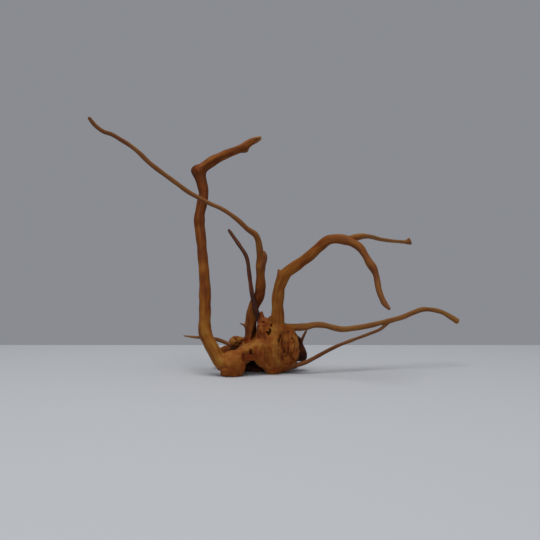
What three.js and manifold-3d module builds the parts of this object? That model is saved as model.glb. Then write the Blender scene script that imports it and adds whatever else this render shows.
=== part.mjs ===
// Spiderwood root: one grown piece of stripped wood that stands on the feet of its burl.
// Units are millimetres, +Z is up, and the viewer stands on the -Y side.
// Every limb is a tapered rod carried along a smooth curve. The rods are fused into one solid,
// the burl is pitted, and the feet are worn flat where they meet the ground.
import * as THREE from "three";
import { mergeVertices } from "three/addons/utils/BufferGeometryUtils.js";
import Module from "manifold-3d";

// Where the viewer's eye is: limbs are laid out as seen from there on the plane y = 0.
const EYE_DISTANCE = 600;
const EYE_HEIGHT = 105;

// The middle of the finished piece's box, from the point on the ground in front of the eye.
const BOX_MIDDLE_X = 19;
const BOX_MIDDLE_Y = -3.3;

// Rods: ring spacing along the limb, and the corners round it for thin, middling and thick limbs.
const RING_STEP = 7;
const THIN_RADIUS = 2.6;
const THICK_RADIUS = 6.5;
const THIN_SIDES = 7;
const MIDDLE_SIDES = 9;
const THICK_SIDES = 12;

// Relief: shallow flutes that wind slowly round every limb, and swellings along it.
const FLUTES = 3;
const FLUTE_SHARE = 0.05;
const FLUTE_WIND = 0.02;
const SWELL_SHARE = 0.04;
const SWELL_LENGTH = 19;
const TIP_ROUNDING = 0.55;
const GOLDEN_ANGLE = Math.PI * (3 - Math.sqrt(5));

// Ground: a slab that takes off whatever reaches below the resting plane.
const GROUND_SIZE = 600;
const GROUND_DEPTH = 40;

// Limbs, root to tip: x and z as seen on the plane y = 0, the set-back behind it, and the radius as seen.
const BURL = {
  left_foot: [[-39, 15, -5, 8.8], [-38.2, 10.6, -4.5, 12.2], [-39.4, 4, -3, 10], [-41.5, -5, -3, 7.6]],
  front_root: [
    [-39.5, 10, -5, 9.8], [-30.5, 17.5, -5, 8.6], [-20, 23.4, -3, 8.6], [-9, 27.6, 4, 9.4],
    [3, 31, 10, 11],
  ],
  right_rib: [[7.5, 49, 6, 7], [6, 35, 5, 10], [4.5, 21, 6, 10], [4, 9, 12, 9], [4, -1, 17, 8]],
  slant_rib: [[-8.5, 26, 1, 8], [-3.2, 16, 3, 7.3], [2.5, 6.5, 8.5, 6.5], [4.5, -1, 14, 6.2]],
  right_mass: [
    [17, 44, 8, 6.3], [19, 34, 8, 8.6], [18.6, 22, 9, 9.4], [16.5, 13, 13, 8], [15, 9.5, 18, 4.8],
  ],
  knob: [[-4.6, 51.3, 6.5, 5.7], [-5, 45.5, 6, 8.2], [-4, 37, 5.5, 9.5], [0, 28, 9, 12]],
  knob_spike: [[-7, 50, 7, 4], [-8.2, 57, 7, 2.7], [-8.6, 62.3, 7, 1.5]],
  knob_spur: [[0, 50.5, 7, 3], [0.3, 55, 7, 1.9], [0.5, 58.6, 7, 0.9]],
  back_mass: [[-16, 33, 24, 9], [-2, 30, 24, 14], [12, 26, 24, 13]],
  back_left_root: [
    [-8, 26, 26, 10], [-24, 25, 27, 7.5], [-36, 23.2, 30, 6.6], [-44, 23, 34, 6.6],
    [-49, 19.8, 39, 6.2], [-47.5, 12, 46, 5.8], [-45.5, 5, 50.9, 5.8],
  ],
  broken_root: [[-16, 28, 30, 7], [-27, 31.4, 26, 5.6], [-33, 33.4, 23, 5.3], [-36.4, 34, 21.5, 4.8]],
  back_foot: [[-6, 22, 30, 11], [-10, 10, 36, 9], [-12, 2, 40, 8]],
  back_web: [[-33, 9, 29, 6.5], [-20, 8, 27, 8], [-8, 8, 27.5, 8.5]],
  saddle_back: [[-36, 16.5, 12, 7.5], [-26, 20, 12, 8], [-14, 24.5, 14, 9]],
  back_right_root: [[8, 26, 26, 11], [16, 16, 38, 9], [20, 6, 47, 7.5]],
  dark_stub: [[16, 24, 14, 8], [25, 20.6, 20, 7.4], [31.9, 20.2, 24.5, 6.3]],
  dark_ridge: [
    [20, 45.5, 12, 2.8], [25, 40.4, 15, 2], [27.6, 37.4, 17, 2.1], [29.8, 34, 19, 2.6],
    [30, 24, 22, 4],
  ],
};
const BRANCHES = {
  left_stem: [
    [-40, 7, -5, 8.5], [-50.6, 15.5, -6, 7], [-56.4, 25, -5.5, 6.2], [-61.6, 34.5, -4.8, 6.2],
    [-64.6, 41, -3.8, 6.2], [-65.5, 48, -2.9, 6.1], [-65.3, 60, -1.5, 5.5], [-65.1, 76, 1, 5.7],
    [-65.2, 88, 3, 5.4], [-65.8, 100, 5, 5], [-67.4, 120, 9, 4.7], [-69.1, 140, 14, 4.9],
    [-70.4, 157, 18, 5.1], [-67.9, 171, 21, 4.9], [-66.5, 182, 23, 4.7], [-67.7, 190.5, 24.5, 5],
    [-71.3, 201.5, 26.5, 5.8], [-74, 205.4, 27, 4.8],
  ],
  left_arm: [
    [-71.5, 203, 27, 5.6], [-60, 212.5, 31, 5.1], [-50, 218.1, 35, 4.4], [-40, 222.4, 39, 4.1],
    [-32, 225.4, 42, 3.95], [-28, 227, 43.5, 4], [-19.5, 232.7, 47.5, 3.8], [-11, 236.4, 50, 2.3],
  ],
  arm_spur: [[-26, 227, 45, 3.2], [-24, 224.4, 45, 1.7], [-23.5, 223.6, 45, 0.8]],
  long_branch: [
    [-18.7, 33, 24, 6], [-18.9, 48, 25, 5.6], [-18.3, 60, 26, 5.4], [-15.7, 70, 26, 5.2],
    [-10.9, 79.5, 25, 5.2], [-9.9, 87, 24, 5.1], [-9.8, 96, 22.5, 4.5], [-9.8, 105, 21, 4.2],
    [-9.7, 113, 20, 4], [-10.6, 128, 16, 3.2], [-14.2, 139.8, 12, 3], [-22.5, 146, 9, 2.6],
    [-30, 153.2, 7, 2.5], [-40, 161, 4.5, 2.2], [-50, 167.1, 3, 2.1], [-60, 171.4, 1, 2.15],
    [-80, 182.1, -6, 2.25], [-100, 196.5, -15, 2.3], [-115, 207.6, -22, 2.4],
    [-122, 213.3, -25.2, 2.35], [-130, 221.3, -29, 2.3], [-140, 229.4, -33.5, 2.1],
    [-150, 235.7, -38, 2.2], [-158, 240.5, -42, 2.15], [-167, 243.7, -46, 2.1],
    [-174.7, 249.5, -50, 2.1], [-181, 257.3, -54, 1.7],
  ],
  branch_stub: [
    [-9.5, 107, 19, 3], [-5.4, 114, 17, 2.3], [-4.9, 119.5, 16, 1.9], [-5.8, 124, 15.5, 0.6],
  ],
  thorn: [
    [-19.5, 46.5, 25, 3], [-24.5, 49.3, 24, 1.6], [-27.5, 50.7, 23.5, 0.9], [-30.8, 51.6, 23, 0.4],
  ],
  dark_twig: [
    [-9.2, 46, 12, 3.4], [-12.4, 60, 13, 2.8], [-17, 76, 16, 2.4], [-19.1, 88, 19.5, 2.2],
    [-20.6, 100, 23.5, 2.15], [-22.5, 114, 28, 2.1], [-24.4, 120, 30, 2.1], [-30.3, 129.3, 35, 2.05],
    [-37.4, 139.6, 42, 1.9], [-41.2, 145, 46, 1.4],
  ],
  arch_stem: [
    [7.5, 46, 4, 7.6], [7.6, 62, 2, 6.1], [8, 76, 0, 5.9], [10.1, 89, -3, 5.8], [16.5, 101.8, -7, 5.5],
    [28, 110.5, -12, 5.1], [38.5, 118.2, -17, 5], [50, 128.3, -22, 4.9], [58.5, 134.8, -26, 4.7],
    [68.5, 135.9, -30, 4.6], [79, 133.6, -34, 4.1], [89, 128.2, -37.5, 3.9], [94.9, 120, -41, 3.45],
    [99.4, 112, -44, 3.7], [103, 106.8, -46, 3.75], [105.9, 100, -48.5, 3], [107.6, 92, -51, 2.85],
    [109.2, 84, -53.5, 3], [112.2, 76, -56.5, 2.7], [114.3, 72, -58, 2.75], [119.6, 65.8, -62, 1.5],
  ],
  arch_stub: [[11.5, 98, -5, 3], [9, 103.5, -4, 1.4], [8.2, 106.3, -4, 0.5]],
  upper_twig: [
    [74, 134.5, -30, 3.2], [83, 137.2, -26, 3.2], [88.5, 138.2, -22.5, 2.9], [94, 138.9, -19, 2.4],
    [101, 138.2, -14, 1.9], [110, 135.8, -7, 1.75], [122, 134.1, 1, 1.6], [134, 133, 8, 1.55],
    [139.6, 132.2, 10.5, 1.9],
  ],
  upper_twig_fork: [[137.5, 132.8, 9, 1.4], [138.3, 135, 9.3, 0.9], [138.6, 136.4, 9.5, 0.45]],
  right_branch: [
    [10, 45, 8, 5.5], [21, 47.4, 9, 3.9], [31, 47.9, 10, 3.4], [37, 48.5, 11.5, 3.3],
    [44, 50, 13, 2.9], [54, 49.6, 15.5, 2.85], [64, 47.2, 18, 2.75], [72, 45.8, 20, 2.85],
    [84, 46.9, 22.5, 2.65], [96, 48.9, 25, 2.6], [110, 52.1, 28, 2.35], [122, 54.9, 30.5, 2.45],
    [133, 58.2, 33, 2.4], [143, 62.3, 35.5, 2.4], [151.5, 65.3, 38, 2.35], [162, 65.2, 41, 2.15],
    [173, 62.2, 44.5, 2.25], [181, 57.8, 47, 2.5], [187.2, 53.8, 48.5, 2.9],
  ],
  low_root: [
    [14, 9, 10, 4.2], [22, 9.6, 7.5, 2.7], [29, 10.6, 6, 2.2], [36, 12.9, 6, 2.2], [44, 16.9, 7, 1.95],
    [56, 23.6, 10, 1.9], [68, 29.4, 13.5, 1.7], [80, 34.1, 17.5, 1.65], [92, 38.5, 21.5, 1.5],
    [102, 42.2, 25, 1.55], [110, 45.6, 27.5, 1.5], [115.5, 49.7, 29, 1.6], [119, 53, 30, 1.6],
  ],
  side_twig: [
    [-28, 23.5, 24, 3.4], [-35.3, 27.5, 22, 2.3], [-42, 31.2, 21, 2], [-50, 34.6, 21, 1.85],
    [-60, 36.8, 22.5, 1.6], [-75, 37.8, 26, 1.15], [-86.5, 39.3, 28, 0.6],
  ],
  spike: [
    [29.5, 22, 23, 5], [30.6, 31, 23, 2.2], [32.2, 36, 23.5, 1.6], [34.2, 40.5, 24, 1.4],
    [36.6, 45, 24, 1], [37.6, 46.6, 24, 0.5],
  ],
};

// Pits in the burl, laid out as the limbs are: x, z, set-back, half width, half height, half depth.
const PITS = {
  knob_hole: [-1.5, 41.8, -3, 2.2, 2.2, 5],
  saddle_knot: [-19.6, 23.4, -11.5, 1.7, 2.4, 4],
  mass_crevice: [9.8, 37, -3.5, 1.4, 4.6, 4.5],
  mass_hole: [17, 18.5, -0.5, 1.8, 2.2, 4],
  low_hole: [23, 14.5, 3, 1.6, 2.4, 4],
};
const PIT_SIDES = 8;
const PIT_RINGS = 6;

const WOOD = new THREE.MeshStandardMaterial({ color: 0x6e3f1c, roughness: 0.72, metalness: 0 });

const wasm = await Module();
wasm.setup();

// How much larger a thing is than it looks on the plane y = 0 when it stands that far behind it.
function spreadAt(setBack) {
  return 1 + setBack / EYE_DISTANCE;
}

// The point on the sight line through (x, z) of the plane y = 0, that far behind the plane.
function placed(x, z, setBack) {
  const spread = spreadAt(setBack);
  return new THREE.Vector3(x * spread, setBack, EYE_HEIGHT + (z - EYE_HEIGHT) * spread);
}

// A closed solid for joining and cutting.
function solid(geometry) {
  const bare = geometry.clone();
  bare.deleteAttribute("normal");
  bare.deleteAttribute("uv");
  const merged = mergeVertices(bare, 1e-3);
  return new wasm.Manifold(
    new wasm.Mesh({
      numProp: 3,
      vertProperties: new Float32Array(merged.attributes.position.array),
      triVerts: new Uint32Array(merged.index.array),
    }),
  );
}

function sidesFor(radius) {
  if (radius < THIN_RADIUS) return THIN_SIDES;
  return radius < THICK_RADIUS ? MIDDLE_SIDES : THICK_SIDES;
}

// A rod of rings carried along the limb's curve, fluted and swelling, with a rounded point at each end.
function limbGeometry(rows, turn) {
  const curve = new THREE.CatmullRomCurve3(rows.map(([x, z, setBack]) => placed(x, z, setBack)));
  const radii = rows.map(([, , setBack, radius]) => radius * spreadAt(setBack));
  const length = curve.getLength();
  const rings = Math.max(2, Math.ceil(length / RING_STEP));
  const sides = sidesFor(Math.max(...radii.slice(1)));
  const frames = curve.computeFrenetFrames(rings, false);

  const radiusAt = (along) => {
    const place = curve.getUtoTmapping(along) * (rows.length - 1);
    const low = Math.min(Math.floor(place), rows.length - 2);
    return THREE.MathUtils.lerp(radii[low], radii[low + 1], place - low);
  };

  const points = [];
  for (let ring = 0; ring <= rings; ring++) {
    const along = ring / rings;
    const travelled = along * length;
    const centre = curve.getPointAt(along);
    const swell = 1 + SWELL_SHARE * Math.sin((2 * Math.PI * travelled) / SWELL_LENGTH + turn);
    for (let side = 0; side < sides; side++) {
      const angle = (2 * Math.PI * side) / sides;
      const flute = 1 + FLUTE_SHARE * Math.cos(FLUTES * angle + turn + FLUTE_WIND * travelled);
      const radius = radiusAt(along) * swell * flute;
      const point = centre
        .clone()
        .addScaledVector(frames.normals[ring], radius * Math.cos(angle))
        .addScaledVector(frames.binormals[ring], radius * Math.sin(angle));
      points.push(point);
    }
  }
  const rootPole = points.length;
  points.push(curve.getPointAt(0).addScaledVector(frames.tangents[0], -TIP_ROUNDING * radii[0]));
  const tipPole = points.length;
  points.push(curve.getPointAt(1).addScaledVector(frames.tangents[rings], TIP_ROUNDING * radii.at(-1)));

  const faces = [];
  for (let side = 0; side < sides; side++) {
    const next = (side + 1) % sides;
    for (let ring = 0; ring < rings; ring++) {
      const here = ring * sides;
      const there = here + sides;
      faces.push(here + side, here + next, there + next, here + side, there + next, there + side);
    }
    faces.push(rootPole, next, side);
    faces.push(tipPole, rings * sides + side, rings * sides + next);
  }
  return new THREE.BufferGeometry().setFromPoints(points).setIndex(faces);
}

// An egg-shaped hollow.
function pitGeometry([x, z, setBack, halfWidth, halfHeight, halfDepth]) {
  const centre = placed(x, z, setBack);
  return new THREE.SphereGeometry(1, PIT_SIDES, PIT_RINGS)
    .scale(halfWidth, halfDepth, halfHeight)
    .translate(centre.x, centre.y, centre.z);
}

// The ground under the resting plane.
function groundGeometry() {
  return new THREE.BoxGeometry(GROUND_SIZE, GROUND_SIZE, GROUND_DEPTH).translate(0, 0, -GROUND_DEPTH / 2);
}

// The whole root as one solid, with its origin on the ground under the middle of its box.
function rootGeometry() {
  const limbs = Object.values({ ...BURL, ...BRANCHES });
  const rods = limbs.map((rows, limb) => solid(limbGeometry(rows, limb * GOLDEN_ANGLE)));
  let whole = rods.reduce((joined, rod) => joined.add(rod));
  for (const pit of Object.values(PITS)) whole = whole.subtract(solid(pitGeometry(pit)));
  const mesh = whole.subtract(solid(groundGeometry())).getMesh();
  return new THREE.BufferGeometry()
    .setAttribute("position", new THREE.BufferAttribute(mesh.vertProperties, 3))
    .setIndex(new THREE.BufferAttribute(mesh.triVerts, 1))
    .translate(-BOX_MIDDLE_X, -BOX_MIDDLE_Y, 0);
}

const root = new THREE.Mesh(rootGeometry(), WOOD);
root.name = "spiderwood_root";
root.geometry.computeVertexNormals();

const part = new THREE.Group();
part.add(root);

export default part;
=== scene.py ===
"""Looks of a spiderwood root: one grown piece of stripped wood that stands on the feet of its burl."""
import itertools
import math

import bpy
import numpy as np
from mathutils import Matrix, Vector


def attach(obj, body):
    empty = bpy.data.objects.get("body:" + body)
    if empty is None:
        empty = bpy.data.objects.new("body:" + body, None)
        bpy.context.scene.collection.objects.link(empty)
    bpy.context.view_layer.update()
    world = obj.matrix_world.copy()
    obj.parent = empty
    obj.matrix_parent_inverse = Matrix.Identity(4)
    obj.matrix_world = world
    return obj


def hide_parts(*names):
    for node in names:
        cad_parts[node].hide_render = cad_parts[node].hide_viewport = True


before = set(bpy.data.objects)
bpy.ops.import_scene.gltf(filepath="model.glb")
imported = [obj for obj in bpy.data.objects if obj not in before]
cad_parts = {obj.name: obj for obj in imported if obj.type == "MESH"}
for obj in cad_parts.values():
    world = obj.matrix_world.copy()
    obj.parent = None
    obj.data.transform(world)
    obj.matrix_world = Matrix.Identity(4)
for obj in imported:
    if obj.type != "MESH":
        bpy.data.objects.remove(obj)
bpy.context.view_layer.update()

# Shapes are worked out in millimetres, +Z up, and turned to metres when a mesh is made.
MM = 0.001

# The viewer's eye, as in the part's source: limbs are laid out as seen from there on the plane y = 0.
EYE_DISTANCE = 600.0
EYE_HEIGHT = 105.0
BOX_MIDDLE = np.array([19.0, -3.3, 0.0])

# Limbs, root to tip: x and z as seen on the plane y = 0, the set-back behind it, and the radius as seen.
BURL = {
    "left_foot": [
        [-39, 15, -5, 8.8], [-38.2, 10.6, -4.5, 12.2], [-39.4, 4, -3, 10], [-41.5, -5, -3, 7.6],
    ],
    "front_root": [
        [-39.5, 10, -5, 9.8], [-30.5, 17.5, -5, 8.6], [-20, 23.4, -3, 8.6], [-9, 27.6, 4, 9.4],
        [3, 31, 10, 11],
    ],
    "right_rib": [[7.5, 49, 6, 7], [6, 35, 5, 10], [4.5, 21, 6, 10], [4, 9, 12, 9], [4, -1, 17, 8]],
    "slant_rib": [[-8.5, 26, 1, 8], [-3.2, 16, 3, 7.3], [2.5, 6.5, 8.5, 6.5], [4.5, -1, 14, 6.2]],
    "slant_edge": [
        [-13.4, 18, 0, 3.4], [-11.4, 13, 1.5, 2.8], [-7.4, 9.8, 5, 2.6], [-2.2, 6.4, 9, 2.6],
        [1.5, 4.4, 10, 2.4],
    ],
    "right_mass": [
        [17, 44, 8, 6.3], [19, 34, 8, 8.6], [18.6, 22, 9, 9.4], [16.5, 13, 13, 8], [15, 9.5, 18, 4.8],
    ],
    "knob": [[-4.6, 51.3, 6.5, 5.7], [-5, 45.5, 6, 8.2], [-4, 37, 5.5, 9.5], [0, 28, 9, 12]],
    "knob_spike": [[-7, 50, 7, 4], [-8.2, 57, 7, 2.7], [-8.6, 62.3, 7, 1.5]],
    "knob_spur": [[0, 50.5, 7, 3], [0.3, 55, 7, 1.9], [0.5, 58.6, 7, 0.9]],
    "back_mass": [[-16, 33, 24, 9], [-2, 30, 24, 14], [12, 26, 24, 13]],
    "back_left_root": [
        [-8, 26, 26, 10], [-24, 25, 27, 7.5], [-36, 23.2, 30, 6.6], [-44, 23, 34, 6.6],
        [-49, 19.8, 39, 6.2], [-47.5, 12, 46, 5.8], [-45.5, 5, 50.9, 5.8],
    ],
    "broken_root": [
        [-16, 28, 30, 7], [-27, 31.4, 26, 5.6], [-33, 33.4, 23, 5.3], [-36.4, 34, 21.5, 4.8],
    ],
    "back_foot": [[-6, 22, 30, 11], [-10, 10, 36, 9], [-12, 2, 40, 8]],
    "back_web": [[-33, 9, 29, 6.5], [-20, 8, 27, 8], [-8, 8, 27.5, 8.5]],
    "saddle_back": [[-36, 16.5, 12, 7.5], [-26, 20, 12, 8], [-14, 24.5, 14, 9]],
    "back_right_root": [[8, 26, 26, 11], [16, 16, 38, 9], [20, 6, 47, 7.5]],
    "dark_stub": [[16, 24, 14, 8], [25, 20.6, 20, 7.4], [31.9, 20.2, 24.5, 6.3]],
    "dark_ridge": [
        [20, 45.5, 12, 2.8], [25, 40.4, 15, 2], [27.6, 37.4, 17, 2.1], [29.8, 34, 19, 2.6],
        [30, 24, 22, 4],
    ],
}
BRANCHES = {
    "left_stem": [
        [-40, 7, -5, 8.5], [-50.6, 15.5, -6, 7], [-56.4, 25, -5.5, 6.2], [-61.6, 34.5, -4.8, 6.2],
        [-64.6, 41, -3.8, 6.2], [-65.5, 48, -2.9, 6.1], [-65.3, 60, -1.5, 5.5], [-65.1, 76, 1, 5.7],
        [-65.2, 88, 3, 5.4], [-65.8, 100, 5, 5], [-67.4, 120, 9, 4.7], [-69.1, 140, 14, 4.9],
        [-70.4, 157, 18, 5.1], [-67.9, 171, 21, 4.9], [-66.5, 182, 23, 4.7], [-67.7, 190.5, 24.5, 5],
        [-71.3, 201.5, 26.5, 5.8], [-74, 205.4, 27, 4.8],
    ],
    "left_arm": [
        [-71.5, 203, 27, 5.7], [-60, 212.5, 31, 5.35], [-50, 218.1, 35, 4.7], [-40, 222.4, 39, 4.3],
        [-32, 225.4, 42, 4.15], [-28, 227, 43.5, 4.2], [-19.5, 232.7, 47.5, 3.9], [-9.8, 236.9, 50, 2.3],
    ],
    "arm_spur": [[-26, 227, 45, 3.2], [-24, 224.4, 45, 1.7], [-23.5, 223.6, 45, 0.8]],
    "long_branch": [
        [-18.7, 33, 24, 6], [-18.9, 48, 25, 5.6], [-18.3, 60, 26, 5.4], [-15.7, 70, 26, 5.2],
        [-10.9, 79.5, 25, 5.2], [-9.9, 87, 24, 5.1], [-9.8, 96, 22.5, 4.5], [-9.8, 105, 21, 4.2],
        [-9.7, 113, 20, 4], [-10.6, 128, 16, 3.2], [-14.2, 139.8, 12, 3], [-22.5, 146, 9, 2.6],
        [-30, 153.2, 7, 2.5], [-40, 161, 4.5, 2.2], [-50, 167.1, 3, 2.1], [-60, 171.4, 1, 2.15],
        [-80, 182.1, -6, 2.25], [-100, 196.5, -15, 2.3], [-115, 207.6, -22, 2.4],
        [-122, 213.3, -25.2, 2.35], [-130, 221.3, -29, 2.3], [-140, 229.4, -33.5, 2.1],
        [-150, 235.7, -38, 2.2], [-158, 240.5, -42, 2.15], [-167, 243.7, -46, 2.1],
        [-174.7, 249.5, -50, 2.1], [-181, 257.3, -54, 1.7],
    ],
    "branch_stub": [
        [-9.5, 107, 19, 3], [-5.4, 114, 17, 2.3], [-4.9, 119.5, 16, 1.9], [-5.8, 124, 15.5, 0.6],
    ],
    "thorn": [
        [-19.5, 46.5, 25, 3], [-24.5, 49.3, 24, 1.6], [-27.5, 50.7, 23.5, 0.9], [-30.8, 51.6, 23, 0.4],
    ],
    "dark_twig": [
        [-9.2, 46, 12, 3.4], [-12.4, 60, 13, 2.8], [-17, 76, 16, 2.4], [-19.1, 88, 19.5, 2.2],
        [-20.6, 100, 23.5, 2.15], [-22.5, 114, 28, 2.1], [-24.4, 120, 30, 2.1],
        [-30.3, 129.3, 35, 2.05], [-37.4, 139.6, 42, 1.9], [-41.2, 145, 46, 1.4],
    ],
    "arch_stem": [
        [7.5, 46, 4, 7.6], [7.6, 62, 2, 6.1], [8, 76, 0, 5.9], [10.1, 89, -3, 5.8],
        [16.5, 101.8, -7, 5.5], [28, 110.5, -12, 5.1], [38.5, 118.2, -17, 5], [50, 128.3, -22, 4.9],
        [58.5, 134.8, -26, 4.7], [68.5, 135.9, -30, 4.6], [79, 133.6, -34, 4.1],
        [89, 128.2, -37.5, 3.9], [94.9, 120, -41, 3.45], [99.4, 112, -44, 3.7],
        [103, 106.8, -46, 3.75], [105.9, 100, -48.5, 3], [107.6, 92, -51, 2.85], [109.2, 84, -53.5, 3],
        [112.2, 76, -56.5, 2.7], [114.3, 72, -58, 2.75], [119.6, 65.8, -62, 1.5],
    ],
    "arch_stub": [[11.5, 98, -5, 3], [9, 103.5, -4, 1.4], [8.2, 106.3, -4, 0.5]],
    "upper_twig": [
        [74, 134.5, -30, 3.3], [83, 137.2, -26, 3.6], [88.5, 138.2, -22.5, 3.4], [94, 138.9, -19, 2.85],
        [101, 138.2, -14, 2.25], [110, 135.8, -7, 2.05], [122, 134.1, 1, 1.85], [134, 133, 8, 1.7],
        [139, 132.5, 10.4, 1.8], [141.4, 130.9, 10.8, 0.7],
    ],
    "upper_twig_fork": [[137.8, 132.8, 9.6, 1.6], [138.7, 135.2, 9.9, 1.2], [139, 136.8, 10, 0.8]],
    "right_branch": [
        [10, 45, 8, 5.5], [21, 47.4, 9, 3.9], [31, 47.9, 10, 3.4], [37, 48.5, 11.5, 3.3],
        [44, 50, 13, 2.9], [54, 49.6, 15.5, 2.85], [64, 47.2, 18, 2.75], [72, 45.8, 20, 2.85],
        [84, 46.9, 22.5, 2.65], [96, 48.9, 25, 2.6], [110, 52.1, 28, 2.35], [122, 54.9, 30.5, 2.45],
        [133, 58.2, 33, 2.4], [143, 62.3, 35.5, 2.4], [151.5, 65.3, 38, 2.35], [162, 65.2, 41, 2.15],
        [173, 62.2, 44.5, 2.25], [181, 57.8, 47, 2.5], [187.2, 53.8, 48.5, 2.9],
    ],
    "low_root": [
        [14, 9, 10, 4.2], [22, 9.6, 7.5, 2.7], [29, 10.6, 6, 2.2], [36, 12.9, 6, 2.2],
        [44, 16.9, 7, 1.95], [56, 23.6, 10, 1.9], [68, 29.4, 13.5, 1.7], [80, 34.1, 17.5, 1.65],
        [92, 38.5, 21.5, 1.5], [102, 42.2, 25, 1.55], [110, 45.6, 27.5, 1.5], [115.5, 49.7, 29, 1.6],
        [119, 53, 30, 1.6],
    ],
    "side_twig": [
        [-28, 23.5, 24, 3.4], [-35.3, 27.5, 22, 2.3], [-42, 31.2, 21, 2], [-50, 34.6, 21, 1.85],
        [-60, 36.8, 22.5, 1.6], [-75, 37.8, 26, 1.3], [-86.5, 39.3, 28, 0.7],
    ],
    "spike": [
        [29.5, 22, 23, 5], [30.6, 31, 23, 2.2], [32.2, 36, 23.5, 1.6], [34.2, 40.5, 24, 1.4],
        [36.6, 45, 24, 1], [37.6, 46.6, 24, 0.5],
    ],
}

# Ridges that stand out of the front skin and crevices sunk into it, as lines of x and z as seen, half width
# across the line and half depth along the sight line.
RAISED = {
    "knot_lip": [[-25.2, 22, 1, 1.4], [-24.2, 24.6, 1.9, 3], [-21.8, 24.6, 1.6, 2.8]],
    "knot_cheek": [[-18.8, 27, 1.2, 1.2], [-17, 24.5, 1.2, 1.6], [-16.6, 20.5, 1.2, 1.4]],
    "mass_edge": [
        [22.6, 37, 1.2, 1.2], [25.6, 35.2, 1.5, 1.6], [27.4, 31.5, 1.4, 1.6], [26.8, 26.5, 1.1, 1.2],
    ],
    "mass_edge_low": [
        [28.6, 27.5, 0.8, 1], [28.4, 23.5, 1.1, 1.3], [27, 19.5, 1, 1.1], [25.8, 16.2, 0.8, 0.8],
    ],
    "trunk_ridge": [
        [3, 31, 1.6, 1], [2.4, 24.5, 2, 1.4], [4, 18, 2.2, 1.6], [7.6, 11.5, 1.8, 1.6], [9.4, 8, 1.2, 1],
    ],
    "splinter": [[6, 14, 0.7, 0.9], [8.4, 9.6, 0.9, 1.3]],
    "left_rib": [[-9, 30, 2, 1], [-11.2, 24, 2.2, 1.6], [-12, 18, 2, 1.4]],
    "knob_brow": [[-11.5, 50, 1.2, 1.2], [-9, 49.3, 2, 2], [-5, 50.3, 1.6, 1.4]],
    "knob_cheek": [[-8.5, 46, 3, 1.8], [-7, 42, 2.4, 1.4]],
    "broken_tip": [[-34.6, 38.1, 1.3, 1.8], [-33.8, 37.2, 1.2, 1.4]],
    "broken_fibre": [[-34.4, 33.2, 0.8, 1], [-31, 34.6, 0.8, 1], [-29, 35.6, 0.6, 0.8]],
}
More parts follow.
